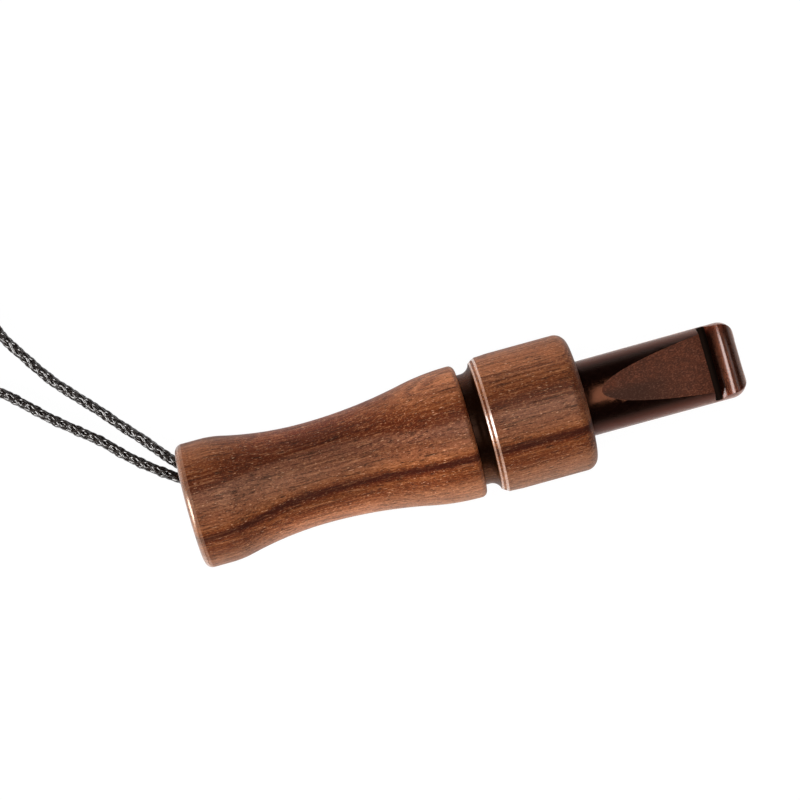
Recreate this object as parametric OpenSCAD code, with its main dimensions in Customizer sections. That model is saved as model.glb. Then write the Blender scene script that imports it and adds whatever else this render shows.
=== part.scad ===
// A wooden bird call, blown through a dark stem: a turned barrel with a flared
// bell, a turned head that plugs into it on two rubber rings, a mouthpiece
// pressed into the head, and a reed on its tone board inside the barrel's
// throat. A neck cord is knotted inside the bell. All sizes are in millimetres.
// The call lies along X with its mouthpiece towards +X, on the floor at z = 0.

/* [Barrel] */
// Length of the barrel
barrel_l = 60.4; // [52:0.1:72]
// Radius of the straight land behind the bell's rim
bell_r = 13.25; // [12.6:0.05:14.2]
// Length of that land
land_l = 5.4; // [3:0.1:7]
// Radius of the barrel at its waist
waist_r = 10.7; // [9.6:0.05:11.2]
// Distance of the waist from the bell's rim
waist_x = 27; // [24:0.5:31]
// Share of the curve from the bell to the waist that is hollow
bell_hollow_share = 0.776; // [0.55:0.005:0.85]
// Radius of the barrel at the joint with the head
belly_r = 14.1; // [13.4:0.1:15.2]
// Share of the curve from the waist to the joint that is hollow
belly_hollow_share = 0.67; // [0.5:0.005:0.8]
// Rounding of the bell's rim
rim_round = 1.1; // [0.6:0.1:1.2]
// Rounding of the barrel's edge at the joint
belly_round = 1.3; // [0.6:0.1:2]

/* [Bore] */
// Radius of the bell's mouth
mouth_r = 10.9; // [10:0.1:11.2]
// Length of the tapered mouth
mouth_l = 28; // [24:0.5:31]
// Chamfer of the mouth's inner edge
mouth_edge = 0.5; // [0.3:0.1:0.7]
// Radius of the throat
throat_r = 5.5; // [5:0.1:6.2]
// Radius of the socket that takes the head's tenon
socket_r = 9.5; // [9.2:0.1:10]
// Depth of that socket
socket_l = 15.5; // [13:0.5:17]

/* [Head] */
// Radius of the collar that shows as a groove beside the ring
collar_r = 11.8; // [11.2:0.1:12.4]
// Straight length of that collar
collar_l = 1; // [0.6:0.1:2]
// Radius of the cove between the collar and the ring
cove_r = 2.2; // [1.9:0.1:2.6]
// Length of the bevel on the ring's front edge
bevel_l = 1.35; // [0.5:0.05:1.5]
// Height of that bevel
bevel_h = 0.85; // [0.5:0.05:1.2]
// Radius of the ring beside the bevel
ring_front_r = 14.4; // [13.9:0.05:14.8]
// Greatest radius of the ring, on which the call lies
ring_r = 14.55; // [14.3:0.05:15.5]
// Length over which the ring rises from there to its greatest radius
ring_crown = 3.1; // [1:0.1:6]
// Length of the ring behind the bevel
ring_l = 19.55; // [16:0.05:26]
// Rounding of the ring's rear edge
ring_round = 2.7; // [1:0.1:3.5]
// Length of the tenon that plugs into the barrel
tenon_l = 15; // [12.5:0.5:16.5]
// Radius of the chamber bored through the head
chamber_r = 6; // [5.7:0.1:6.4]

/* [Mouthpiece] */
// Length of the stem outside the head
stem_l = 34.2; // [28:0.1:42]
// Radius of the stem at the head
stem_r = 8; // [7.6:0.05:8.6]
// Radius of the stem at its tip
stem_tip_r = 8.1; // [7.9:0.05:8.7]
// Length of the turned tenon inside the head
spigot_l = 12; // [9:0.5:14]
// Radius of the airway
airway_r = 3; // [2.5:0.1:3.3]
// Distance of each ramp's point from the head
ramp_start = 4; // [2:0.1:8]
// Depth of each ramp at its deep end
ramp_depth = 2.9; // [2:0.1:3.3]
// Radius of the round lip at the tip, and of the tip's corners
lip_r = 3.4; // [3:0.05:3.8]
// Radius of the groove behind the lip
lip_groove_r = 0.9; // [0.7:0.05:1.1]
// Distance of that groove's centre from the lip's centre, along the stem
lip_groove_x = 3.3; // [3.1:0.05:3.5]
// Width of the slot that the airway ends in
slot_w = 8; // [7:0.1:9]
// Height of that slot
slot_h = 2.2; // [1.6:0.1:2.4]

/* [Reed] */
// Length of the tone board's round plug
plug_l = 11.5; // [9:0.5:13]
// Length of the tone board's table in front of the plug
table_l = 24; // [20:0.5:26]
// Radius of the rod that the table is cut from
table_r = 4.9; // [4.6:0.05:5]
// Height of the table above the call's axis
table_h = 0.6; // [0.4:0.05:0.9]
// Radius of the curve on which the table falls away under the reed
table_curve = 330; // [220:10:600]
// Radius of the sound channel
channel_r = 2.2; // [1.8:0.05:2.3]
// Depth of the channel's centre below the call's axis
channel_drop = 1.9; // [1.8:0.05:2]
// Solid length at the table's tip, where the channel stops
table_nose = 2; // [1.5:0.1:4]
// Length of the notch that holds the wedge
notch_l = 7; // [6:0.1:8]
// Width of the reed
reed_w = 7; // [6:0.1:7.6]
// Thickness of the reed
reed_t = 0.3; // [0.2:0.01:0.4]
// Length of the reed behind the plug's face, where the wedge holds it
reed_tail = 4.4; // [3.5:0.1:5]
// Distance of the reed's tip from the table's tip
reed_back = 1; // [0.5:0.1:2]
// Rounding of the reed's tip corners
reed_round = 1.6; // [0.8:0.1:2.4]

/* [Seals] */
// Thickness of a rubber ring
seal_t = 1.78; // [1.5:0.01:1.9]
// Width of the groove that a rubber ring sits in
seal_groove_w = 2.2; // [2:0.1:2.6]
// Distance of the front ring's middle from the tenon's end
seal_front = 3.2; // [2.6:0.1:4]
// Distance between the middles of the two rings
seal_step = 7; // [5:0.1:7.4]

/* [Cord] */
// Thickness of the neck cord
cord_d = 2.4; // [1.8:0.1:2.5]
// Radius of the cord hole in the bell
cord_hole_r = 2.75; // [2.7:0.05:3]
// Distance of the cord hole from the rim, at the land's radius
cord_hole_x = 9.45; // [8.5:0.05:11]
// Turn of the cord hole about the call, from straight down
cord_hole_turn = 30; // [28:0.5:32]
// Lean of the cord hole towards the mouthpiece
cord_hole_lean = 35; // [32:0.5:38]
// Radius of the stopper knot
knot_r = 3.7; // [3.4:0.1:4]
// Thickness of the stopper knot
knot_t = 4.2; // [3.6:0.1:4.6]
// Radius of the coil's outer turn
coil_r = 20.5; // [19:0.5:23]
// Distance between neighbouring turns, and between the two layers
coil_pitch = 2.85; // [2.82:0.01:3]

/* [Fits] */
// Play of the head's tenon in the barrel's socket
tenon_play = 0.1; // [0.03:0.01:0.1]
// Play of a rubber ring against the socket and its groove
seal_play = 0.02; // [0.01:0.01:0.05]
// Glue line round a piece that is pressed in
glue_line = 0.05; // [0.02:0.01:0.1]
// Play of the reed above and below its held tail
reed_play = 0.1; // [0.08:0.01:0.15]
// Gap between the knot and the bell's inner wall
knot_gap = 0.35; // [0.3:0.05:0.6]
// Gap between the floor and the cord lying on it
floor_gap = 0.05; // [0.02:0.01:0.1]

/* [Hidden] */
$fn = 96;
// Sides of the long sweeping arcs
sweep_sides = 720;
// Overrun of every cut
over = 1;
// How far a hollow arc bites into the shape beside it, so that the two cross
bite = 0.01;
// How far the spans of an outline overlap under such a hollow arc
lap = 0.3;

// The head's own stations, from the bell's rim
cove_x = barrel_l + collar_l;
bevel_r = ring_front_r - bevel_h;
bevel_x = cove_x + sqrt(cove_r ^ 2 - (collar_r + cove_r - bevel_r) ^ 2);
ring_x = bevel_x + bevel_l;
head_end = ring_x + ring_l;
overall_l = head_end + stem_l;
axis_h = ring_r;

// Radii of the hollow arc and of the full arc between a crest and the waist
// together: the run between the two and the rise settle them
function arcs_r(run, rise) = (run ^ 2 / rise + rise) / 2;
bell_sweep = arcs_r(waist_x - land_l, bell_r - waist_r) * bell_hollow_share;
bell_swell = arcs_r(waist_x - land_l, bell_r - waist_r) - bell_sweep;
belly_x = barrel_l - belly_round;
belly_sweep = arcs_r(belly_x - waist_x, belly_r - waist_r) * belly_hollow_share;
belly_swell = arcs_r(belly_x - waist_x, belly_r - waist_r) - belly_sweep;

// Where a full arc and a hollow one meet
bell_turn_x = waist_x - (waist_x - land_l) * bell_hollow_share;
belly_turn_x = waist_x + (belly_x - waist_x) * belly_hollow_share;

// The tapered mouth
mouth_taper = (mouth_r - throat_r) / mouth_l;
function mouth_at(x) = mouth_r - mouth_taper * x;

// The head's tenon and its two rubber rings
socket_x = barrel_l - socket_l;
tenon_r = socket_r - tenon_play;
tenon_x = barrel_l - tenon_l;
seal_mid_r = socket_r - seal_play - seal_t / 2;
seal_floor_r = seal_mid_r - seal_t / 2 - seal_play;
tenon_chamfer = seal_t / 3;
seal_front_x = tenon_x + seal_front;
seal_rear_x = seal_front_x + seal_step;

// The mouthpiece's stations
spigot_r = chamber_r - glue_line;
lip_x = overall_l - lip_r;
groove_x = lip_x - lip_groove_x;
groove_h = sqrt((lip_r + lip_groove_r - bite) ^ 2 - lip_groove_x ^ 2);
ramp_end = groove_x - lip_groove_r + bite;
airway_end = ramp_end - airway_r;
ramp_x = head_end + ramp_start;
ramp_run = over * (ramp_end - ramp_x) / ramp_depth;

// The tone board's stations
plug_r = throat_r - glue_line;
plug_x = socket_x - plug_l;
notch_x = socket_x - notch_l;
table_end = socket_x + table_l;
reed_z = table_h + reed_play;
reed_start = socket_x - reed_tail;
reed_end = table_end - reed_back;
wedge_h = reed_z + reed_t + reed_play;
trough_x = socket_x + channel_r / 2;
trough_end = table_end - table_nose - channel_r;

// The cord hole reaches the tapered mouth here, and the knot sits there
hole_cot = 1 / tan(cord_hole_lean);
hole_in_x = (bell_r - mouth_r + cord_hole_x * hole_cot) / (hole_cot - mouth_taper);
knot_seat = mouth_at(hole_in_x + knot_r) - knot_gap;
knot_bulge = sqrt(knot_r ^ 2 + (knot_t / 2) ^ 2) * 0.95;

// The cord's two strands from the knot to the coil, along the cord's middle
cord_sides = 8;
coil_sides = 6;
strand_out_points = [
    [-44.9, 4.13, 9.89], [-46.9, 5.58, 7.38], [-49, 7.08, 4.78], [-50.4, 8.07, 3.06],
    [-51.2, 8.51, 2.32], [-52.15, 8.85, 1.73], [-53.2, 9.05, 1.37], [-54.4, 9.12, 1.25],
    [-56.9, 9.15, 1.25], [-57.9, 9.25, 1.25], [-59, 9.61, 1.25], [-59.9, 10.2, 1.25],
    [-61, 11.3, 1.25], [-63.7, 14.5, 1.25], [-66.6, 18, 1.25], [-69.8, 21.5, 1.25],
    [-73, 25.3, 1.25], [-77.3, 30, 1.25], [-81.7, 35, 1.25], [-85.8, 41, 1.25],
    [-89.4, 46.8, 1.25], [-90.9, 51.5, 1.25], [-91.5, 56.5, 1.25]];
strand_back_points = [
    [-44.9, 1.97, 8.64], [-46.9, 3.42, 6.13], [-49.4, 5.19, 3.06], [-50.2, 5.63, 2.32],
    [-51.15, 5.97, 1.73], [-52.2, 6.17, 1.37], [-53.4, 6.24, 1.25], [-57.5, 6.25, 1.25],
    [-59, 6.48, 1.25], [-60, 6.93, 1.25], [-61, 7.6, 1.25], [-64.5, 10.1, 1.25],
    [-67.9, 12.8, 1.25], [-71.3, 15.9, 1.25], [-74.6, 19.3, 1.25], [-79.1, 23, 1.25],
    [-83.8, 26.9, 1.25], [-88.4, 31.3, 1.25], [-92.4, 34.9, 1.25], [-96.6, 37.1, 1.25],
    [-101, 38.4, 1.3], [-106, 39.5, 2.1], [-111, 40.6, 3.3]];

// The coil: two layers, spiralling in and out again, off the bell's far side
coil_middle = [-112.5, 62];
coil_first_turn = 7;
coil_sweep_turn = 3487;
coil_step = 15;
coil_floor = cord_d / 2 + floor_gap;

function coil_at(turn) =
    let (r = coil_r - coil_pitch * min(turn, coil_sweep_turn - turn) / 360,
        climb = min(max((turn - coil_sweep_turn / 2 + 90) / 180, 0), 1),
        a = coil_first_turn + turn)
    [coil_middle.x + r * cos(a), coil_middle.y + r * sin(a), coil_floor + coil_pitch * climb];
function coil_heading(turn) =
    [-sin(coil_first_turn + turn), cos(coil_first_turn + turn), 0];
coil_way = [for (t = [0 : coil_step : coil_sweep_turn]) coil_at(t)];
coil_start = coil_at(0) - coil_heading(0) * cord_d;
coil_finish = coil_at(coil_sweep_turn) + coil_heading(coil_sweep_turn) * cord_d;
coil_path = concat([coil_start], coil_way, [coil_at(coil_sweep_turn), coil_finish]);
strand_out_path = concat(strand_out_points,
    [coil_start - coil_heading(0) * cord_d, coil_start]);
strand_back_path = concat(strand_back_points,
    [coil_finish + coil_heading(coil_sweep_turn) * cord_d, coil_finish]);

// The coil's least gap to itself, measured between points half a turn or more apart
half_turn_points = 180 / coil_step;
coil_least_gap = min([for (i = [0 : len(coil_path) - 1],
    j = [i + half_turn_points : 1 : len(coil_path) - 1])
    norm(coil_path[i] - coil_path[j])]) - cord_d;
echo(coil_least_gap = coil_least_gap);

// Places a piece that is drawn along X from the bell's rim
module on_axis() {
    translate([-overall_l / 2, 0, axis_h]) children();
}

// Turns an outline, drawn as length along X and radius along Y
module turned() {
    rotate([0, 90, 0]) rotate_extrude() mirror([1, -1]) children();
}

// Cuts a side view, drawn as length along X and height along Y, through a width
module side_cut(width) {
    rotate([90, 0, 0]) linear_extrude(width, center = true) children();
}

// A rectangle between two places along the call and two heights
module span(from, to, low, high) {
    polygon([[from, low], [to, low], [to, high], [from, high]]);
}

// What a rounded edge takes off a corner at the end of an outline
module edge_off(x, r, round, way) {
    translate([x, r]) difference() {
        translate([way < 0 ? 0 : -round, -round]) square([round + over * (way < 0 ? 0 : 1), round + over]);
        translate([-way * round, -round]) circle(r = round);
    }
}

module barrel_outline() {
    difference() {
        union() {
            span(0, land_l, 0, bell_r);
            intersection() {
                span(land_l, bell_turn_x, 0, bell_r);
                translate([land_l, bell_r - bell_swell]) circle(r = bell_swell, $fn = sweep_sides);
            }
            span(bell_turn_x - lap, waist_x, 0, bell_r);
        }
        translate([waist_x, waist_r + bell_sweep]) circle(r = bell_sweep + bite, $fn = sweep_sides);
    }
    difference() {
        union() {
            span(waist_x, belly_turn_x + lap, 0, belly_r);
            intersection() {
                span(belly_turn_x, belly_x, 0, belly_r);
                translate([belly_x, belly_r - belly_swell]) circle(r = belly_swell, $fn = sweep_sides);
            }
            span(belly_x, barrel_l, 0, belly_r);
        }
        translate([waist_x, waist_r + belly_sweep]) circle(r = belly_sweep + bite, $fn = sweep_sides);
    }
}

module barrel_bore() {
    polygon([[-over, -over], [-over, mouth_r + mouth_edge + over],
        [mouth_edge, mouth_at(mouth_edge)], [mouth_l, throat_r], [socket_x, throat_r],
        [socket_x, socket_r], [barrel_l + over, socket_r], [barrel_l + over, -over]]);
}

module at_cord_hole() {
    rotate([cord_hole_turn, 0, 0]) children();
}

module barrel() {
    color("#7d4a33") on_axis() difference() {
        turned() difference() {
            barrel_outline();
            barrel_bore();
            edge_off(0, bell_r, rim_round, -1);
            edge_off(barrel_l, belly_r, belly_round, 1);
        }
        at_cord_hole() translate([cord_hole_x, 0, -bell_r]) rotate([0, cord_hole_lean, 0])
            translate([0, 0, -bell_r]) cylinder(r = cord_hole_r, h = bell_r * 2 - throat_r);
    }
}

module head_outline() {
    span(0, cove_x, 0, collar_r);
    difference() {
        polygon([[cove_x, 0], [head_end, 0], [head_end, ring_r],
            [ring_x + ring_crown, ring_r], [ring_x, ring_front_r], [bevel_x, bevel_r],
            [cove_x, bevel_r]]);
        translate([cove_x, collar_r + cove_r]) circle(r = cove_r);
    }
}

module seal_groove(x) {
    span(x - seal_groove_w / 2, x + seal_groove_w / 2, seal_floor_r, socket_r);
}

module head() {
    color("#7a4731") on_axis() turned() {
        difference() {
            head_outline();
            span(-over, barrel_l, -over, collar_r + over);
            edge_off(head_end, ring_r, ring_round, 1);
            span(-over, head_end + over, -over, chamber_r);
        }
        difference() {
            span(tenon_x, barrel_l, chamber_r, tenon_r);
            seal_groove(seal_front_x);
            seal_groove(seal_rear_x);
            polygon([[tenon_x - over, tenon_r - tenon_chamfer - over],
                [tenon_x + tenon_chamfer + over, tenon_r + over], [tenon_x - over, tenon_r + over]]);
        }
    }
}

// The mouthpiece seen from the side: two ramps, the grooves and the round lip
module mouthpiece_side() {
    difference() {
        union() {
            polygon([[head_end - spigot_l, -stem_r - over], [ramp_x - ramp_run, -stem_r - over],
                [ramp_end, ramp_depth - stem_r], [ramp_end, stem_r - ramp_depth],
                [ramp_x - ramp_run, stem_r + over], [head_end - spigot_l, stem_r + over]]);
            polygon([[ramp_end - over, -groove_h], [groove_x, -groove_h], [lip_x, 0],
                [groove_x, groove_h], [ramp_end - over, groove_h]]);
            translate([lip_x, 0]) circle(r = lip_r);
        }
        for (side = [-1, 1]) translate([groove_x, side * groove_h]) circle(r = lip_groove_r);
    }
}

module mouthpiece_outline() {
    span(head_end - spigot_l, head_end, 0, spigot_r);
    difference() {
        polygon([[head_end, 0], [overall_l, 0], [overall_l, stem_tip_r], [lip_x, stem_tip_r],
            [head_end, stem_r]]);
        edge_off(overall_l, stem_tip_r, lip_r, 1);
    }
}

// The slot through the lip, with round ends, seen from the tip
module slot_outline() {
    square([slot_h, slot_w - slot_h], center = true);
    for (side = [-1, 1]) translate([0, side * (slot_w - slot_h) / 2]) circle(r = slot_h / 2);
}

module mouthpiece() {
    color("#3a1f18") on_axis() difference() {
        intersection() {
            turned() mouthpiece_outline();
            side_cut(stem_r * 3) mouthpiece_side();
        }
        translate([head_end - spigot_l - over, 0, 0]) rotate([0, 90, 0])
            cylinder(r = airway_r, h = airway_end - head_end + spigot_l + over);
        translate([airway_end - slot_h, 0, 0]) rotate([0, 90, 0])
            linear_extrude(overall_l - airway_end + slot_h + over) slot_outline();
    }
}

// The tone board seen from the side: plug, wedge notch and falling table
module tone_board_side() {
    span(plug_x, notch_x, -plug_r, plug_r);
    span(notch_x, socket_x, -plug_r, table_h);
    intersection() {
        span(socket_x, table_end, -plug_r, table_h);
        translate([socket_x, table_h - table_curve]) circle(r = table_curve, $fn = sweep_sides);
    }
}

module tone_board() {
    color("#d8cfb8") on_axis() difference() {
        intersection() {
            turned() {
                span(plug_x, socket_x, 0, plug_r);
                span(socket_x, table_end, 0, table_r);
            }
            side_cut(plug_r * 3) tone_board_side();
        }
        translate([plug_x - over, 0, -channel_drop]) rotate([0, 90, 0])
            cylinder(r = channel_r, h = trough_end - plug_x + over);
        translate([trough_x, 0, -channel_drop]) linear_extrude(plug_r + channel_drop) {
            span(0, trough_end - trough_x, -channel_r, channel_r);
            translate([trough_end - trough_x, 0]) circle(r = channel_r);
        }
    }
}

module reed() {
    color("#b9ad8e") on_axis() translate([0, 0, reed_z]) linear_extrude(reed_t) {
        span(reed_start, reed_end - reed_round, -reed_w / 2, reed_w / 2);
        span(reed_end - reed_round * 2, reed_end, reed_round - reed_w / 2, reed_w / 2 - reed_round);
        for (side = [-1, 1])
            translate([reed_end - reed_round, side * (reed_w / 2 - reed_round)]) circle(r = reed_round);
    }
}

module reed_wedge() {
    color("#b88a5a") on_axis() intersection() {
        translate([notch_x, 0, 0]) rotate([0, 90, 0]) cylinder(r = plug_r, h = notch_l);
        translate([notch_x, -plug_r, wedge_h]) cube([notch_l, plug_r * 2, plug_r]);
    }
}

module seal_ring(x) {
    color("#161616") on_axis() turned() translate([x, seal_mid_r]) circle(r = seal_t / 2);
}

// A tube swept along points, in triangles
function unit(v) = v / norm(v);
function heading(p, i) = unit(p[min(i + 1, len(p) - 1)] - p[max(i - 1, 0)]);
function tube_ring(p, i, r, sides) =
    let (ahead = heading(p, i), across = unit(cross(ahead, [0, 0, 1])), up = cross(across, ahead))
    [for (k = [0 : sides - 1]) p[i] + r * (cos(360 * k / sides) * across + sin(360 * k / sides) * up)];

module tube(path, sides) {
    last = len(path) - 1;
    polyhedron(
        points = [for (i = [0 : last]) each tube_ring(path, i, cord_d / 2, sides)],
        faces = concat(
            [for (k = [1 : sides - 2]) [0, k + 1, k]],
            [for (i = [0 : last - 1], k = [0 : sides - 1]) let (n = (k + 1) % sides)
                [i * sides + k, i * sides + n, (i + 1) * sides + n]],
            [for (i = [0 : last - 1], k = [0 : sides - 1]) let (n = (k + 1) % sides)
                [i * sides + k, (i + 1) * sides + n, (i + 1) * sides + k]],
            [for (k = [1 : sides - 2]) [last * sides, last * sides + k, last * sides + k + 1]]));
}

module cord_knot() {
    color("#1d1713") on_axis() at_cord_hole() translate([hole_in_x, 0, -knot_seat + knot_t / 2])
        rotate_extrude() intersection() {
            translate([0, -knot_t / 2]) square([knot_r, knot_t]);
            circle(r = knot_bulge);
        }
}

barrel();
head();
mouthpiece();
tone_board();
reed();
reed_wedge();
seal_ring(seal_front_x);  // seal_ring_front
seal_ring(seal_rear_x);  // seal_ring_rear
color("#1d1713") tube(strand_out_path, cord_sides);  // cord_strand_out
color("#1d1713") tube(strand_back_path, cord_sides);  // cord_strand_back
color("#1d1713") tube(coil_path, coil_sides);  // cord_coil
cord_knot();
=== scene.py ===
from math import cos, pi, radians, sin, sqrt

import bmesh
import bpy
from mathutils import Matrix, Vector


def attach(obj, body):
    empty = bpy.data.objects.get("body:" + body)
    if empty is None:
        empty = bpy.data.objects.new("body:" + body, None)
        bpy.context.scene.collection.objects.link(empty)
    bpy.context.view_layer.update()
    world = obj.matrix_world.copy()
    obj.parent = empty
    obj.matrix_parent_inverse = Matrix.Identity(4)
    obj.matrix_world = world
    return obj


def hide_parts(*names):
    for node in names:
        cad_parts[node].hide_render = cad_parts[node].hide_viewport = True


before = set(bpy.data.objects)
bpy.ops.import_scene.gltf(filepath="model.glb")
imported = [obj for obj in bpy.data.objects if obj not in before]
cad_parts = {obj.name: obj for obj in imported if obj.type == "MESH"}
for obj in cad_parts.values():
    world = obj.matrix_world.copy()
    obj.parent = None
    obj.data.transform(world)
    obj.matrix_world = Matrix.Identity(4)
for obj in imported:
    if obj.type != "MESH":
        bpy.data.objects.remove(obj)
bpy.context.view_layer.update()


# The camera looks almost straight down on the call through a long lens, from a little
# to the front, the side away from the cord. The call's axis runs up to the right.
MM = 0.001
camera_turn = radians(-15.45)
camera_rise = radians(85.5)
camera_far = 585.84 * MM
looked_at = Vector((-11.348, 9.99, 14.5)) * MM
to_camera = Vector((sin(camera_turn) * cos(camera_rise), -cos(camera_turn) * cos(camera_rise),
                    sin(camera_rise)))
eye = bpy.data.cameras.new("eye")
eye.lens = 126.45
eye.sensor_width = 36
camera = bpy.data.objects.new("eye", eye)
camera.location = looked_at + to_camera * camera_far
camera.rotation_euler = (pi / 2 - camera_rise, 0, camera_turn)
bpy.context.scene.collection.objects.link(camera)
bpy.context.scene.camera = camera


# The neck cord: a thin round braid of eight dark glossy yarns. Its two ends are knotted
# inside the bell, pass a hole in the wall, and run out flat beside the call. The rest of
# the loop, which the photograph cuts off, lies in a neat coil off the bell's side.
cord_ring_gap = 0.5
braid_lay = 10.0
strand_out = [
    (-44.9, 4.13, 9.89), (-46.9, 5.58, 7.38), (-49, 7.08, 4.78), (-50.4, 8.07, 3.06),
    (-51.2, 8.51, 2.32), (-52.15, 8.85, 1.73), (-53.2, 9.05, 1.37), (-54.4, 9.12, 1.25),
    (-56.9, 9.15, 1.25), (-57.9, 9.25, 1.25), (-59, 9.61, 1.25), (-59.9, 10.2, 1.25),
    (-61, 11.3, 1.25), (-63.7, 14.5, 1.25), (-66.6, 18, 1.25), (-69.8, 21.5, 1.25),
    (-73, 25.3, 1.25), (-77.3, 30, 1.25), (-81.7, 35, 1.25), (-85.8, 41, 1.25),
    (-89.4, 46.8, 1.25), (-90.9, 51.5, 1.25), (-91.5, 56.5, 1.25)]
strand_back = [
    (-44.9, 1.97, 8.64), (-46.9, 3.42, 6.13), (-49.4, 5.19, 3.06), (-50.2, 5.63, 2.32),
    (-51.15, 5.97, 1.73), (-52.2, 6.17, 1.37), (-53.4, 6.24, 1.25), (-57.5, 6.25, 1.25),
    (-59, 6.48, 1.25), (-60, 6.93, 1.25), (-61, 7.6, 1.25), (-64.5, 10.1, 1.25),
    (-67.9, 12.8, 1.25), (-71.3, 15.9, 1.25), (-74.6, 19.3, 1.25), (-79.1, 23, 1.25),
    (-83.8, 26.9, 1.25), (-88.4, 31.3, 1.25), (-92.4, 34.9, 1.25), (-96.6, 37.1, 1.25),
    (-101, 38.4, 1.3), (-106, 39.5, 2.1), (-111, 40.6, 3.3)]
coil_middle = (-112.5, 62)
coil_r = 20.5
coil_pitch = 2.85
coil_first_turn = 7
coil_sweep_turn = 3487
coil_step_turn = 12
coil_floor = 1.25


def coil_point(turn):
    """A point of the coil, which winds in on the table and out again on the layer above."""
    r = coil_r - coil_pitch * min(turn, coil_sweep_turn - turn) / 360
    climb = min(max((turn - coil_sweep_turn / 2 + 90) / 180, 0), 1)
    a = radians(coil_first_turn + turn)
    return (coil_middle[0] + r * cos(a), coil_middle[1] + r * sin(a),
            coil_floor + coil_pitch * climb)


def smooth_line(points, step, parts=12):
    """A curve through the points, with even steps along it."""
    p = [Vector(q) for q in points]
    fine = []
    for i in range(len(p) - 1):
        before, after = p[max(i - 1, 0)], p[min(i + 2, len(p) - 1)]
        for j in range(parts):
            t = j / parts
            fine.append(0.5 * (2 * p[i] + (p[i + 1] - before) * t
                               + (2 * before - 5 * p[i] + 4 * p[i + 1] - after) * t ** 2
                               + (3 * p[i] - before - 3 * p[i + 1] + after) * t ** 3))
    fine.append(p[-1])
    line, carried = [fine[0]], 0.0
    for a, b in zip(fine, fine[1:]):
        gap = (b - a).length
        while gap > 1e-9 and carried + gap >= step:
            a = a + (b - a) * ((step - carried) / gap)
            gap = (b - a).length
            carried = 0.0
            line.append(a)
        carried += gap
    if (line[-1] - fine[-1]).length > step / 2:
        line.append(fine[-1])
    return line


def braid(name, line, yarn_r, ring_r, wave, each_way=4):
    """Yarns round a line, half of them each way, each over one and under the next."""
    last = len(line) - 1
    ahead = [(line[min(i + 1, last)] - line[max(i - 1, 0)]).normalized()
             for i in range(len(line))]
    side = ahead[0].orthogonal().normalized()
    sides = []
    for a in ahead:
        side = (side - a * side.dot(a)).normalized()
        sides.append(side)
    curve = bpy.data.curves.new(name, "CURVE")
    curve.dimensions = "3D"
    curve.bevel_depth = yarn_r * MM
    curve.bevel_resolution = 1
    curve.use_fill_caps = True
    for way in (1, -1):
        for k in range(each_way):
            yarn = curve.splines.new("POLY")
            yarn.points.add(last)
            run = 0.0
            for i, at in enumerate(line):
                run += (at - line[i - 1]).length if i else 0
                lap = 2 * pi * run / braid_lay
                turn = way * lap + 2 * pi * k / each_way
                r = ring_r + wave * cos(each_way * lap + (pi if way > 0 else 0) + pi * k)
                up = ahead[i].cross(sides[i])
                place = at + (sides[i] * cos(turn) + up * sin(turn)) * r
                yarn.points[i].co = (*(place * MM), 1)
    made = bpy.data.objects.new(name, curve)
    bpy.context.scene.collection.objects.link(made)
    mesh = bpy.data.meshes.new_from_object(made)
    mesh.name = name
    bpy.data.objects.remove(made)
    mesh.shade_smooth()
    piece = bpy.data.objects.new(name, mesh)
    bpy.context.scene.collection.objects.link(piece)
    return piece


def srgb(r, g, b):
    """A colour as a screen shows it, 0 to 255, turned into the shader's own scale."""
    return tuple(c / 12.92 if c <= 0.04045 else ((c + 0.055) / 1.055) ** 2.4
                 for c in (r / 255, g / 255, b / 255)) + (1.0,)


class Wiring:
    """Short calls that wire a tree of nodes."""

    def __init__(self, tree):
        self.tree = tree

    def node(self, kind, settings=None, **sockets):
        made = self.tree.nodes.new(kind)
        for key, value in (settings or {}).items():
            setattr(made, key, value)
        for key, value in sockets.items():
            self.put(made.inputs[key.replace("_", " ")], value)
        return made

    def put(self, socket, value):
        if isinstance(value, bpy.types.NodeSocket):
            self.tree.links.new(value, socket)
        else:
            socket.default_value = value

    def sum(self, how, a, b=0.0, c=0.0):
        made = self.node("ShaderNodeMath", {"operation": how})
        for socket, value in zip(made.inputs, (a, b, c)):
            self.put(socket, value)
        return made.outputs[0]

    def spread(self, value, low, high, to_low=0.0, to_high=1.0, smooth=True):
        """A value from low to high, carried over to the other range."""
        kind = "SMOOTHSTEP" if smooth else "LINEAR"
        made = self.node("ShaderNodeMapRange", {"interpolation_type": kind})
        for socket, v in zip(made.inputs, (value, low, high, to_low, to_high)):
            self.put(socket, v)
        return made.outputs[0]

    def parts(self, where):
        """A place's three parts."""
        return self.node("ShaderNodeSeparateXYZ", Vector=where).outputs


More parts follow.
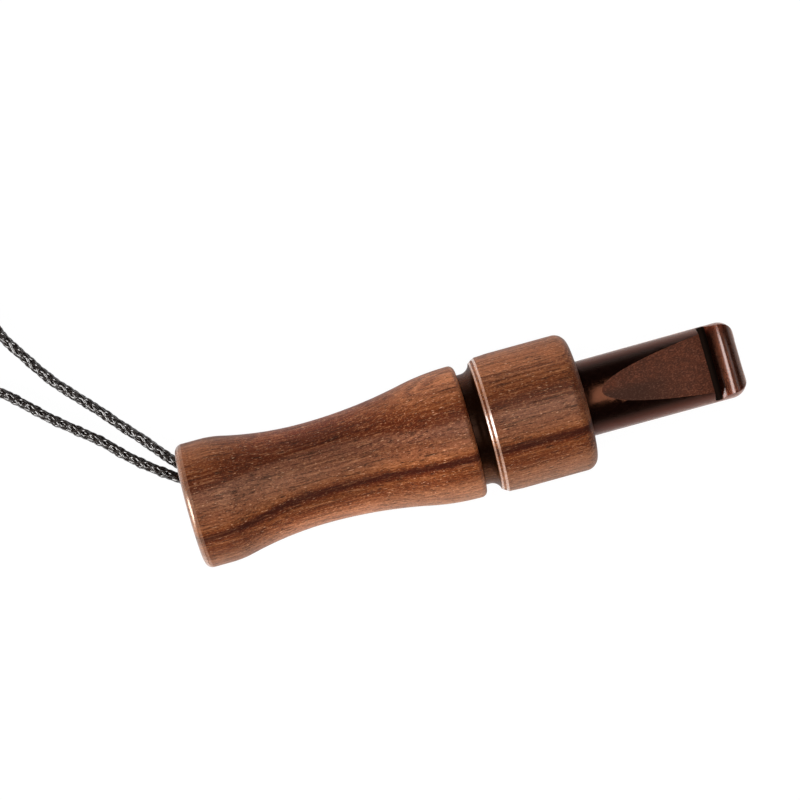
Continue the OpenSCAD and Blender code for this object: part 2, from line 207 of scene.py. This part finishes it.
class Shade(Wiring):
    """A material with its nodes wired by short calls."""

    def __init__(self, name):
        self.material = bpy.data.materials.new(name)
        self.material.use_nodes = True
        super().__init__(self.material.node_tree)
        self.skin = self.tree.nodes["Principled BSDF"]

    def mix(self, how, amount, a, b):
        made = self.node("ShaderNodeMix", {"data_type": "RGBA", "blend_type": how})
        self.put(made.inputs[0], amount)
        self.put(made.inputs[6], a)
        self.put(made.inputs[7], b)
        return made.outputs[2]

    def ramp(self, value, stops):
        made = self.node("ShaderNodeValToRGB")
        steps = made.color_ramp.elements
        while len(steps) < len(stops):
            steps.new(0.5)
        for step, (place, colour) in zip(steps, stops):
            step.position = place
            step.color = colour
        self.put(made.inputs[0], value)
        return made.outputs[0]

    def noise(self, where, scale=1.0, detail=3.0, rough=0.5):
        return self.node("ShaderNodeTexNoise", Vector=where, Scale=scale, Detail=detail,
                         Roughness=rough).outputs[0]

    def stretched(self, x, y, z, shift=(0.0, 0.0, 0.0)):
        """Places on the piece in millimetres, stretched by a factor each way."""
        where = self.node("ShaderNodeTexCoord").outputs["Object"]
        return self.node("ShaderNodeMapping", Vector=where, Location=shift,
                         Scale=(x / MM, y / MM, z / MM)).outputs[0]

    def bump(self, height, depth):
        return self.node("ShaderNodeBump", Height=height, Distance=depth * MM,
                         Strength=1.0).outputs[0]

    def finish(self, **sockets):
        for key, value in sockets.items():
            self.put(self.skin.inputs[key.replace("_", " ")], value)
        return self.material


def dress(piece, *materials):
    """Gives a piece its materials, in place of any that it came with."""
    if piece.data.materials:
        piece.data.materials.clear()
    for material in materials:
        piece.data.materials.append(material)


coil_line = [coil_point(t) for t in range(0, coil_sweep_turn, coil_step_turn)]
cord_line = smooth_line(strand_out + coil_line + strand_back[::-1], cord_ring_gap)
cord = braid("neck_cord", cord_line, yarn_r=0.44, ring_r=0.67, wave=0.1)

# Each yarn is dark, a little uneven, and glossy over its fine threads
yarn = Shade("braided_yarn")
threads = yarn.node("ShaderNodeTexWave", {"wave_type": "BANDS", "bands_direction": "Y"},
                    Vector=yarn.node("ShaderNodeUVMap").outputs[0],
                    Scale=3.5, Distortion=0.6, Detail=1.0).outputs[1]
fuzz = yarn.noise(yarn.stretched(1, 1, 1), scale=2.6, detail=4.0, rough=0.6)
yarn_colour = yarn.mix("MIX", yarn.spread(fuzz, 0.35, 0.7), srgb(6, 3, 2), srgb(22, 12, 9))
yarn.finish(Base_Color=yarn_colour, Roughness=0.4,
            Specular_IOR_Level=0.3, Specular_Tint=(1.0, 0.88, 0.8, 1),
            Coat_Weight=1.0, Coat_IOR=1.55, Coat_Roughness=0.1,
            Normal=yarn.bump(threads, 0.02))
dress(cord, yarn.material)
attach(cord, "barrel")
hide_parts("cord_strand_out", "cord_strand_back", "cord_coil")


# The knot that stops the cord inside the bell: both ends are tied together in one
# overhand knot, drawn tight against the wall.
axis_h = 14.55
knot_x = -46.53
knot_out = 5.27
knot_turn = radians(30)
knot_r = 1.02
knot_loop = 1.35
knot_depth = 0.85
knot_steps = 120
knot_at = (Vector((knot_x, 0, axis_h))
           + Vector((0, sin(knot_turn), -cos(knot_turn))) * knot_out)
knot_lean = Matrix.Rotation(knot_turn, 3, "X")
knot_line = []
for i in range(knot_steps + 1):
    a = 2 * pi * i / knot_steps
    knot_line.append(knot_at + knot_lean @ Vector((knot_r * (sin(a) + knot_loop * sin(2 * a)),
                                                   knot_r * (cos(a) - knot_loop * cos(2 * a)),
                                                   -knot_depth * sin(3 * a))))
knot = braid("cord_knot_tied", knot_line, yarn_r=0.42, ring_r=0.6, wave=0.08)
dress(knot, yarn.material)
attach(knot, "barrel")
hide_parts("cord_knot")


# The barrel: one turned piece of walnut, rubbed with oil to a satin shine. It swells
# from a narrow waist to the bell on one side and to the joint on the other. The bell's
# mouth, the throat and the socket are bored from its ends.
half_l = 59.327
turn_steps = 180
turned_crease = radians(30)


def finished(name, made, crease=turned_crease):
    """Makes a shape an object, smooth but for edges sharper than the crease angle."""
    mesh = bpy.data.meshes.new(name)
    made.to_mesh(mesh)
    made.free()
    mesh.shade_smooth()
    mesh.set_sharp_from_angle(angle=crease)
    piece = bpy.data.objects.new(name, mesh)
    bpy.context.scene.collection.objects.link(piece)
    return piece


def arc(x, r, radius, start, end, steps):
    """Points of an arc in the turned outline, angles from the axis direction."""
    angles = [radians(start + (end - start) * i / steps) for i in range(steps + 1)]
    return [(x + radius * cos(a), r + radius * sin(a)) for a in angles]


def turned(name, outline):
    """Turns an outline, drawn as (place along the call, radius), about the call's axis."""
    made = bmesh.new()
    corners = [made.verts.new(((x - half_l) * MM, 0, (axis_h + r) * MM)) for x, r in outline]
    edges = [made.edges.new(pair) for pair in zip(corners, corners[1:] + corners[:1])]
    bmesh.ops.spin(made, geom=corners + edges, cent=(0, 0, axis_h * MM), axis=(1, 0, 0),
                   angle=2 * pi, steps=turn_steps, use_merge=True, use_duplicate=False)
    bmesh.ops.remove_doubles(made, verts=made.verts, dist=1e-7)
    bmesh.ops.recalc_face_normals(made, faces=made.faces)
    return finished(name, made)


def cut(piece, cutter):
    """Cuts one shape out of another for good."""
    tool = piece.modifiers.new("cut", "BOOLEAN")
    tool.operation = "DIFFERENCE"
    tool.solver = "EXACT"
    tool.object = cutter
    cut_out = piece.evaluated_get(bpy.context.evaluated_depsgraph_get())
    mesh = bpy.data.meshes.new_from_object(cut_out)
    piece.modifiers.clear()
    piece.data = mesh
    bpy.data.objects.remove(cutter)


def walnut(name, wear_and_highlight=0.0, painted_groove_shade=0.0, level=0.22, rough=(0.52, 0.42), tint=(1.0, 0.6, 0.42),
           oil=0.0):
    """Oiled walnut. Its growth layers are nearly flat sheets through the blank, so they
    show as long figures where a sheet just grazes the turned surface. The edges can be
    painted pale, partly for wear from handling and partly as a painted highlight, and the
    groove painted dark as painted shade."""
    wood = Shade(name)
    along, across, up = wood.parts(wood.stretched(1, 1, 1, (0, 0, -axis_h)))
    # How far a place lies across the growth layers, which bend and waver a little
    sheet = wood.sum("MULTIPLY_ADD", across, 0.81, wood.sum("MULTIPLY", up, 0.586))
    bend = wood.sum("MULTIPLY", wood.spread(along, -60, -24, 1.9, 0), wood.spread(across, 1, -5))
    sheet = wood.sum("ADD", sheet, bend)
    wander = wood.noise(wood.stretched(0.03, 0.09, 0.09), detail=2.0)
    waver = wood.noise(wood.stretched(0.11, 0.5, 0.5), detail=2.0)
    for drift, depth in ((wander, 1.2), (waver, 0.5)):
        drift = wood.sum("MULTIPLY", wood.sum("SUBTRACT", drift, 0.5), depth)
        sheet = wood.sum("ADD", sheet, drift)
    # Each layer's place, in millimetres from the axis, and its colour
    layers = [(-15.0, (124, 82, 56)), (-9.0, (132, 88, 62)), (-6.4, (124, 78, 54)),
              (-4.8, (126, 78, 52)), (-3.4, (104, 56, 31)), (-2.1, (90, 40, 14)),
              (-1.0, (88, 38, 12)), (0.0, (102, 51, 22)), (0.9, (80, 29, 7)),
              (1.5, (60, 14, 3)), (2.4, (58, 10, 2)), (3.0, (94, 42, 15)),
              (3.6, (118, 64, 33)), (4.7, (118, 66, 39)), (6.0, (108, 57, 33)),
              (6.8, (97, 49, 25)), (7.8, (102, 56, 37)), (8.8, (104, 60, 42)),
              (9.5, (76, 27, 7)), (10.9, (78, 27, 5)), (11.9, (96, 45, 18)),
              (12.6, (104, 54, 28)), (13.1, (126, 72, 42)), (13.4, (84, 40, 21)),
              (13.6, (142, 86, 55)), (13.8, (92, 46, 27)), (14.0, (142, 85, 54)),
              (14.9, (130, 74, 44))]
    reach = 16
    base = wood.ramp(wood.spread(sheet, -reach, reach, 0, 1, smooth=False),
                     [((place + reach) / (2 * reach), srgb(*colour)) for place, colour in layers])
    # Fine fibres along the piece, some dark and some pale; the pale fibres and specks are partly
    # painted glints
    fibre = wood.noise(wood.stretched(0.07, 2.1, 2.1), detail=4.0, rough=0.7)
    speck_and_glint = wood.noise(wood.stretched(1.7, 3.6, 3.6, (2.0, 9.0, 1.0)), rough=0.75)
    dark_wood, pale_fibre_and_glint = srgb(20, 5, 1), srgb(226, 158, 108)
    for grain, low, high, amount, colour in ((fibre, 0.5, 0.29, 0.92, dark_wood),
                                             (fibre, 0.51, 0.76, 0.26, pale_fibre_and_glint),
                                             (speck_and_glint, 0.51, 0.27, 0.85, dark_wood),
                                             (speck_and_glint, 0.53, 0.77, 0.36, pale_fibre_and_glint)):
        base = wood.mix("MIX", wood.spread(grain, low, high, 0, amount), base, colour)
    # Open pores, cut lengthwise, are short dark dashes, and a few pale flecks are painted glints
    # of the oil
    pore = wood.noise(wood.stretched(0.36, 4.2, 4.2), detail=1.0, rough=0.4)
    pores = wood.spread(pore, 0.63, 0.7)
    base = wood.mix("MIX", wood.sum("MULTIPLY", pores, 0.75), base, srgb(26, 8, 3))
    painted_glint = wood.noise(wood.stretched(1.1, 4.6, 4.6, (7.0, 3.0, 5.0)), detail=1.0, rough=0.4)
    base = wood.mix("MIX", wood.spread(painted_glint, 0.68, 0.77, 0, 0.42), base, srgb(232, 176, 136))
    # The darkest layer is a streak that thins where fibres cross it and at the waist
    waist = wood.sum("SUBTRACT", wood.spread(along, -50, -38), wood.spread(along, -26, -14))
    from_dark = wood.sum("ABSOLUTE", wood.sum("SUBTRACT", sheet, 1.95))
    streak = wood.spread(from_dark, 0.95, 0.2, 0, 0.84)
    thinned = wood.sum("MULTIPLY_ADD", waist, -0.4, wood.spread(fibre, 0.7, 0.45, 0.55, 1))
    base = wood.mix("MIX", wood.sum("MULTIPLY", streak, thinned), base, srgb(42, 7, 1))
    # The belly is lighter than the bell and the head; the waist's flanks are lighter too,
    # painted light for the light that falls on them from the sides
    light = wood.sum("SUBTRACT", wood.spread(along, -26, -10, 0, 0.44),
                     wood.spread(along, 1.3, 1.9, 0, 0.32))
    light = wood.sum("ADD", light, wood.spread(along, -52, -34, 0.96, 0.84))
    painted_waist_flank_light = wood.spread(wood.sum("ABSOLUTE", across), 6.5, 9.6, 0, 0.75)
    light = wood.sum("ADD", light, wood.sum("MULTIPLY", waist, painted_waist_flank_light))
    base = wood.mix("MULTIPLY", 1.0, base, light)
    if wear_and_highlight:
        # Pale edges: partly real wear from handling, partly a painted highlight where the edges
        # glint
        base = wood.mix("MIX", wear_and_highlight, base, srgb(206, 158, 130))
    # Painted shade: the groove is darkened, most on its top and underside and less on its sides
    if painted_groove_shade:
        painted_shade_mask = wood.spread(wood.sum("ABSOLUTE", up), 6, 9.8, painted_groove_shade * 0.6, painted_groove_shade)
        base = wood.mix("MIX", painted_shade_mask, base, srgb(9, 3, 1))
    relief = wood.sum("MULTIPLY_ADD", fibre, 0.5, wood.sum("MULTIPLY", speck_and_glint, 0.4))
    relief = wood.sum("SUBTRACT", relief, pores)
    return wood.finish(Base_Color=base, Roughness=wood.spread(fibre, 0.3, 0.7, *rough),
                       Specular_IOR_Level=level, Specular_Tint=(*tint, 1),
                       Coat_Weight=oil, Coat_IOR=1.6, Coat_Roughness=0.2,
                       Normal=wood.bump(relief, 0.045))


def marked(piece, bands):
    """Gives the faces of each band along the piece, from one place to another, its finish.
    A band is (slot, start, end, least radius)."""
    for face in piece.data.polygons:
        x = face.center.x / MM + half_l
        r = sqrt(face.center.y ** 2 + (face.center.z - axis_h * MM) ** 2) / MM
        for slot, start, end, inner in bands:
            if start < x < end and r > inner:
                face.material_index = slot


bell_r, waist_r, belly_r = 13.25, 10.7, 14.1
land_l, waist_x, belly_x = 5.4, 27.0, 59.1
bell_hollow, belly_hollow = 0.776, 0.67
rim_bend, joint_bend = 1.6, 1.3
barrel_l = 60.4
socket_x, socket_r = 44.9, 9.5
throat_x, throat_r = 27.0, 5.5
bell_bore_r, bell_bore_slope = 5.68, 0.1929
broken_edge = 0.2


def side_at(x):
    """Radius of the barrel's side: a hollow arc at the waist, a full one at each crest."""
    if x < waist_x:
        crest_x, crest_r, hollow = land_l, bell_r, bell_hollow
    else:
        crest_x, crest_r, hollow = belly_x, belly_r, belly_hollow
    run, away, rise = abs(crest_x - waist_x), abs(x - waist_x), crest_r - waist_r
    both = (run ** 2 / rise + rise) / 2
    if away < run * hollow:
        sweep = both * hollow
        return waist_r + sweep - sqrt(sweep ** 2 - away ** 2)
    swell = both * (1 - hollow)
    return crest_r - swell + sqrt(swell ** 2 - (run - away) ** 2)


side_step = 0.8
rim_inside = [(0.45, 11.28), (0.12, 11.5), (0, 11.8)]
rim_crease = [(1.04, bell_r - 0.18), (1.12, bell_r - 0.12)]
bell_side = [(x, side_at(x)) for x in [land_l + i * side_step for i in range(28)]]
belly_side = [(x, side_at(x)) for x in [waist_x + 0.5 + i * side_step for i in range(40)]]
socket_bore = [(barrel_l, socket_r + 0.25), (barrel_l - 0.25, socket_r),
               (socket_x + broken_edge, socket_r), (socket_x, socket_r - broken_edge)]
throat_bore = [(socket_x, throat_r + broken_edge), (socket_x - broken_edge, throat_r),
               (28.2, throat_r), (27.6, 5.54)]
bell_bore = [(throat_x - i * 2.6, bell_bore_r + bell_bore_slope * i * 2.6) for i in range(10)]
barrel_outline = (
    rim_inside + arc(rim_bend, bell_r - rim_bend, rim_bend, 173, 113, 10)
    + rim_crease + arc(rim_bend, bell_r - rim_bend, rim_bend, 106, 90, 5)
    + [(2.0, bell_r), (3.7, bell_r)] + bell_side + belly_side
    + arc(belly_x, belly_r - joint_bend, joint_bend, 90, 0, 10)
    + socket_bore + throat_bore + bell_bore + [(1.2, 10.66)])
barrel = turned("barrel_turned", barrel_outline)

# The cord's hole slants through the bell's wall
hole_r, hole_l = 2.75, 19
hole_x, hole_down = 9.45, 13.2
hole_lean = radians(35)
drill = bmesh.new()
bmesh.ops.create_cone(drill, cap_ends=True, segments=64, radius1=hole_r * MM,
                      radius2=hole_r * MM, depth=hole_l * MM)
bmesh.ops.rotate(drill, verts=drill.verts, cent=(0, 0, 0),
                 matrix=Matrix.Rotation(hole_lean, 3, "Y"))
bmesh.ops.translate(drill, verts=drill.verts, vec=((hole_x - half_l) * MM, 0, -hole_down * MM))
bmesh.ops.rotate(drill, verts=drill.verts, cent=(0, 0, 0),
                 matrix=Matrix.Rotation(knot_turn, 3, "X"))
bmesh.ops.translate(drill, verts=drill.verts, vec=(0, 0, axis_h * MM))
cut(barrel, finished("drill", drill))

body_wood = walnut("oiled_walnut")
# The rim and the shoulder behind it get pale, glossy bands: partly wear, partly painted highlight
edge_wood = walnut("worn_and_highlit_walnut", wear_and_highlight=0.16, level=1.0, rough=(0.3, 0.22),
                   tint=(1.0, 0.74, 0.54), oil=0.4)
shoulder_wood = walnut("worn_and_highlit_shoulder_walnut", wear_and_highlight=0.12, level=0.45, rough=(0.4, 0.32),
                       tint=(1.0, 0.66, 0.48), oil=0.12)
dress(barrel, body_wood, edge_wood, shoulder_wood)
marked(barrel, [(1, -1, 1.06, 11.2), (2, 1.06, 1.62, 12.8)])
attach(barrel, "barrel")
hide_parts("barrel")


# The head: turned from the same blank, so its figure runs on from the barrel's. A short
# collar leaves a groove beside the joint, painted dark as shade, a cove climbs to the
# bevelled ring, and a tenon with two ring grooves plugs into the barrel.
head_start, head_end = 45.4, 84.453
tenon_r, seal_groove_r, seal_groove_w = 9.4, 7.68, 2.2
seal_groove_starts = (47.5, 54.5)
chamber_r = 6.0
collar_r = 11.8
cove_r = 2.2
ring_r, ring_bend = 14.55, 2.7
seal_grooves = [corner for x in seal_groove_starts
                for corner in ((x, tenon_r), (x, seal_groove_r),
                               (x + seal_groove_w, seal_groove_r), (x + seal_groove_w, tenon_r))]
bevel = [(63.58, 13.57), (63.9, 13.77), (64.38, 14.07), (64.72, 14.28), (64.86, 14.37),
         (65.02, 14.405)]
ring_crown = [(66, 14.45), (67, 14.51)] + [(x, ring_r) for x in (68, 72, 76, 80)]
head_outline = (
    [(head_start, chamber_r), (head_start, 8.85), (45.95, tenon_r)] + seal_grooves
    + [(barrel_l, tenon_r), (barrel_l, 11.65), (60.55, collar_r), (61.4, collar_r)]
    + arc(61.4, 14.0, cove_r, -90, -13.2, 10)[1:] + bevel + ring_crown
    + arc(head_end - ring_bend, ring_r - ring_bend, ring_bend, 90, 0, 16)
    + [(head_end, 8.3), (head_end, chamber_r + broken_edge), (head_end - broken_edge, chamber_r)])
head = turned("head_turned", head_outline)
# The bevel's two edge bands are pale, partly wear and partly painted highlight
bevel_wood = walnut("worn_and_highlit_bevel_walnut", wear_and_highlight=0.36, level=1.0, rough=(0.3, 0.24),
                    tint=(1.0, 0.88, 0.82), oil=0.8)
# The groove's wood is painted dark: painted shade, darkest on its top and underside
groove_shade_wood = walnut("painted_shade_groove_walnut", painted_groove_shade=0.97, level=0.05, rough=(0.36, 0.3),
                     tint=(1.0, 0.5, 0.34))
dress(head, body_wood, bevel_wood, groove_shade_wood)
marked(head, [(1, 63.4, 63.9, 13.4), (1, 64.38, 64.8, 13.4), (2, 60.39, 63.4, 11)])
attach(head, "head")
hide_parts("head")


# The mouthpiece: a rod of dark brown plastic, turned and polished. Two long ramps are
# milled into it for the teeth, and a half-round groove leaves a lip at the tip. It is
# pressed into the head.
milled_edge = 0.11
least_lean, most_lean = 0.1, 0.16
groove_start, groove_end, groove_top, groove_floor = 110.95, 112.8, 6.6, 1.2
lip_start = 112.75
polished, milled, sawn, worn = range(4)
made = bmesh.new()
made.from_mesh(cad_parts["mouthpiece"].data)
bmesh.ops.remove_doubles(made, verts=made.verts, dist=1e-6)
bmesh.ops.recalc_face_normals(made, faces=made.faces)
bmesh.ops.dissolve_limit(made, angle_limit=radians(0.4), verts=made.verts, edges=made.edges)
sharp = [e for e in made.edges if len(e.link_faces) == 2 and e.calc_face_angle() > radians(24)]
bmesh.ops.bevel(made, geom=sharp, offset=milled_edge * MM, offset_type="OFFSET", segments=2,
                profile=0.5, affect="EDGES", clamp_overlap=True, material=-1)
for face in made.faces:
    at, out = face.calc_center_median(), face.normal
    x, h = at.x / MM + half_l, abs(at.z / MM - axis_h)
    on_ramp = least_lean < out.x < most_lean and abs(out.y) < 0.02
    in_groove = (groove_start < x < groove_end and abs(out.y) < 0.15
                 and groove_floor < h < groove_top)
    face.material_index = (milled if on_ramp else sawn if in_groove
                           else worn if x > lip_start else polished)
mouthpiece = finished("mouthpiece_polished", made, radians(32))


def brown_plastic(name, pale, deep, rough, tint=(1.0, 0.6, 0.44), level=0.5, dint=0.02,
                  clear=0.0, skin=(1.1, 0.25), bloom=0.0, ramp_start_darkening=0.0):
    """The rod's plastic, polished where it was turned and satin where it was milled. With a
    clear coat, a clear brown skin lies over a black core. With bloom, the rod's flanks as
    seen from above are painted lighter brown, a painted reflection."""
    plastic = Shade(name)
    cloud = plastic.noise(plastic.stretched(0.45, 0.7, 0.7), detail=4.0, rough=0.6)
    speck = plastic.noise(plastic.stretched(2.2, 3.6, 3.6), rough=0.7)
    tone = plastic.mix("MIX", plastic.spread(cloud, 0.3, 0.7), srgb(*deep), srgb(*pale))
    specks = plastic.ramp(speck, [(0.36, (0.45, 0.4, 0.35, 1)), (0.5, (1, 1, 1, 1)),
                                  (0.64, (1.7, 1.9, 2.1, 1))])
    tone = plastic.mix("MULTIPLY", 1.0, tone, specks)
    along, across, _ = plastic.parts(plastic.stretched(1, 1, 1))
    if bloom:
        # Painted reflection: the flanks, as seen from above, are turned lighter brown
        side = plastic.spread(plastic.sum("ABSOLUTE", across), 5.5, 7.6)
        tone = plastic.mix("MIX", side, tone, srgb(60, 21, 7))
    if ramp_start_darkening:
        # Darker towards the start of the ramp and towards one side of it
        ramp_start_darker = plastic.sum("MULTIPLY", plastic.spread(along, 49, 36, 0, ramp_start_darkening),
                            plastic.spread(across, 0.8, -1.2))
        tone = plastic.mix("MIX", ramp_start_darker, tone, srgb(38, 9, 3))
        scuffs = plastic.spread(speck, 0.5, 0.72, 0, 0.22)
        tone = plastic.mix("MIX", scuffs, tone, srgb(160, 118, 100))
    return plastic.finish(
        Base_Color=tone, Roughness=plastic.spread(speck, 0.3, 0.7, *rough), IOR=1.5,
        Sheen_Weight=bloom, Sheen_Roughness=0.35, Sheen_Tint=(1.0, 0.45, 0.27, 1),
        Specular_IOR_Level=level, Specular_Tint=(*tint, 1),
        Coat_Weight=clear, Coat_IOR=skin[0], Coat_Roughness=skin[1],
        Coat_Tint=(0.97, 0.58, 0.42, 1), Normal=plastic.bump(speck, dint))


dress(mouthpiece,
      brown_plastic("polished_brown_plastic", (10, 3, 2), (5, 1, 1), rough=(0.18, 0.26),
                    tint=(1.0, 0.36, 0.19), level=0.17, dint=0.03, bloom=0.3),
      brown_plastic("milled_brown_plastic", (76, 31, 14), (60, 22, 9), rough=(0.6, 0.7),
                    level=0.2, ramp_start_darkening=1.0),
      brown_plastic("sawn_brown_plastic", (8, 3, 2), (5, 2, 1), rough=(0.7, 0.8), level=0.1),
      brown_plastic("worn_brown_plastic", (16, 5, 3), (8, 3, 2), rough=(0.26, 0.36),
                    tint=(1.0, 0.5, 0.34), level=0.7, dint=0.09, clear=1.0,
                    skin=(1.36, 0.17), bloom=0.1))
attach(mouthpiece, "head")
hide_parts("mouthpiece")


# The tone board: a moulded insert of pale plastic, pressed into the barrel's throat. Its
# flat table carries the reed, over a sound channel that opens towards the bell.
ivory = Shade("ivory_plastic")
flow = ivory.noise(ivory.stretched(0.2, 0.5, 0.5))
ripple = ivory.noise(ivory.stretched(3, 3, 3), detail=2.0)
ivory.finish(Base_Color=ivory.mix("MIX", flow, srgb(214, 204, 178), srgb(228, 219, 196)),
             Roughness=0.38, Subsurface_Weight=0.1, Subsurface_Radius=(0.002, 0.0015, 0.001),
             Normal=ivory.bump(ripple, 0.01))
dress(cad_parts["tone_board"], ivory.material)


# The reed: a thin tongue cut from amber plastic film. Its tail is clamped on the tone
# board's table, and its free end beats over the sound channel.
film = Shade("amber_film")
draw_lines = film.noise(film.stretched(0.3, 3.0, 3.0))
film.finish(Base_Color=film.mix("MIX", draw_lines, srgb(186, 168, 128), srgb(206, 190, 150)),
            Roughness=0.25)
dress(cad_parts["reed"], film.material)


# The wedge: a slip of cork, cut with a knife and pushed into the tone board's notch. It
# holds the reed's tail down.
cork = Shade("cork")
cells = cork.node("ShaderNodeTexVoronoi", Vector=cork.stretched(1, 1, 1), Scale=1.8).outputs[0]
crumb = cork.noise(cork.stretched(1, 1, 1), scale=1.1, detail=4.0, rough=0.6)
cork_tone = cork.mix("MIX", cork.spread(crumb, 0.3, 0.7), srgb(150, 104, 62), srgb(204, 160, 108))
cell_walls = cork.ramp(cells, [(0.1, (0.6, 0.55, 0.5, 1)), (0.5, (1, 1, 1, 1))])
cork.finish(Base_Color=cork.mix("MULTIPLY", 0.5, cork_tone, cell_walls), Roughness=0.85,
            Normal=cork.bump(cells, 0.08))
dress(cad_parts["reed_wedge"], cork.material)


# The two seal rings: moulded black rubber, each stretched over the tenon into its groove.
# They hold the head in its socket and keep the joint airtight.
rubber = Shade("black_rubber")
bloom = rubber.noise(rubber.stretched(1, 1, 1), scale=1.4, detail=4.0, rough=0.6)
rubber.finish(Base_Color=rubber.mix("MIX", bloom, srgb(16, 16, 17), srgb(34, 34, 35)),
              Roughness=0.55, Normal=rubber.bump(bloom, 0.02))
for name in ("seal_ring_front", "seal_ring_rear"):
    dress(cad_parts[name], rubber.material)


# A plain white table and lamps. Soft ones stand above the call, low on the bell's side and
# low on each long side. Those with soft=False only glint: the long strip overhead in the
# polished lip, and one at either end in the rim and the tip.
aimed_at = Vector((0, 0, 0.015))
white = (1, 1, 1, 1)


def lamp(name, where, size, power, soft=True, glint=True):
    """A lamp that lights the call, shows in its gloss, or does both."""
    light = bpy.data.lights.new(name, "AREA")
    light.shape = "RECTANGLE"
    light.size, light.size_y = size
    light.energy = power
    made = bpy.data.objects.new(name, light)
    made.location = where
    made.rotation_euler = (aimed_at - Vector(where)).to_track_quat("-Z", "Y").to_euler()
    made.visible_diffuse = soft
    made.visible_glossy = glint
    bpy.context.scene.collection.objects.link(made)


lamp("overhead_strip", (0.18, -0.05, 0.93), (0.72, 0.28), 11.5, soft=False)
lamp("overhead_soft", (0.0, 0.0, 0.95), (0.6, 0.6), 5.6, glint=False)
lamp("bell_side", (-0.8, -0.1, 0.3), (0.5, 0.3), 6.5, glint=False)
lamp("bell_side_glint", (-0.75, -0.08, 0.38), (0.4, 0.5), 10.0, soft=False)
lamp("tip_side_glint", (0.72, -0.05, 0.62), (0.5, 0.3), 0.9, soft=False)
lamp("front_side", (-0.1, -0.85, 0.14), (0.8, 0.16), 6.8, glint=False)
lamp("back_side", (-0.05, 0.85, 0.14), (0.8, 0.16), 6.0, glint=False)

# The table is white to the camera, duller in the gloss, and takes the call's shadow
made = bmesh.new()
bmesh.ops.create_grid(made, x_segments=1, y_segments=1, size=3.0)
floor = finished("table", made)
paper = Shade("white_table")
paper.tree.nodes.remove(paper.skin)
plain = paper.node("ShaderNodeBsdfDiffuse", Color=(0.86, 0.86, 0.86, 1)).outputs[0]
glow = paper.node("ShaderNodeEmission", Color=white, Strength=1.03).outputs[0]
path = paper.node("ShaderNodeLightPath").outputs
mirrored = paper.sum("MAXIMUM", path["Is Glossy Ray"], path["Is Transmission Ray"])
along = paper.parts(paper.stretched(1, 1, 1))[0]
mirrored = paper.sum("MULTIPLY", mirrored, paper.spread(along, 66, 90, 1, 0.15))
mirrored = paper.sum("MULTIPLY", mirrored, 0.34)
seen = paper.sum("MULTIPLY_ADD", path["Is Camera Ray"], 0.93, mirrored)
blend = paper.node("ShaderNodeMixShader")
for socket, value in zip(blend.inputs, (seen, plain, glow)):
    paper.put(socket, value)
paper.put(paper.tree.nodes["Material Output"].inputs[0], blend.outputs[0])
dress(floor, paper.material)

# The room is white to the camera and dim to the call, dimmest overhead and past the tip
world = bpy.data.worlds.new("studio")
bpy.context.scene.world = world
world.use_nodes = True
for node in list(world.node_tree.nodes):
    world.node_tree.nodes.remove(node)
sky = Wiring(world.node_tree)
to_tip, _, to_top = sky.parts(sky.node("ShaderNodeTexCoord").outputs["Generated"])
dim = sky.sum("MULTIPLY", sky.spread(to_top, 0.05, 0.25, 0.24, 0.032, smooth=False),
              sky.spread(to_tip, 0.1, 0.9, 1.0, 0.35, smooth=False))
path = sky.node("ShaderNodeLightPath").outputs
shown = sky.sum("MULTIPLY_ADD", path["Is Camera Ray"], 1.04, dim)
back = sky.node("ShaderNodeBackground", Color=white, Strength=shown)
sky.put(sky.node("ShaderNodeOutputWorld").inputs[0], back.outputs[0])

bpy.context.scene.view_settings.view_transform = "Standard"
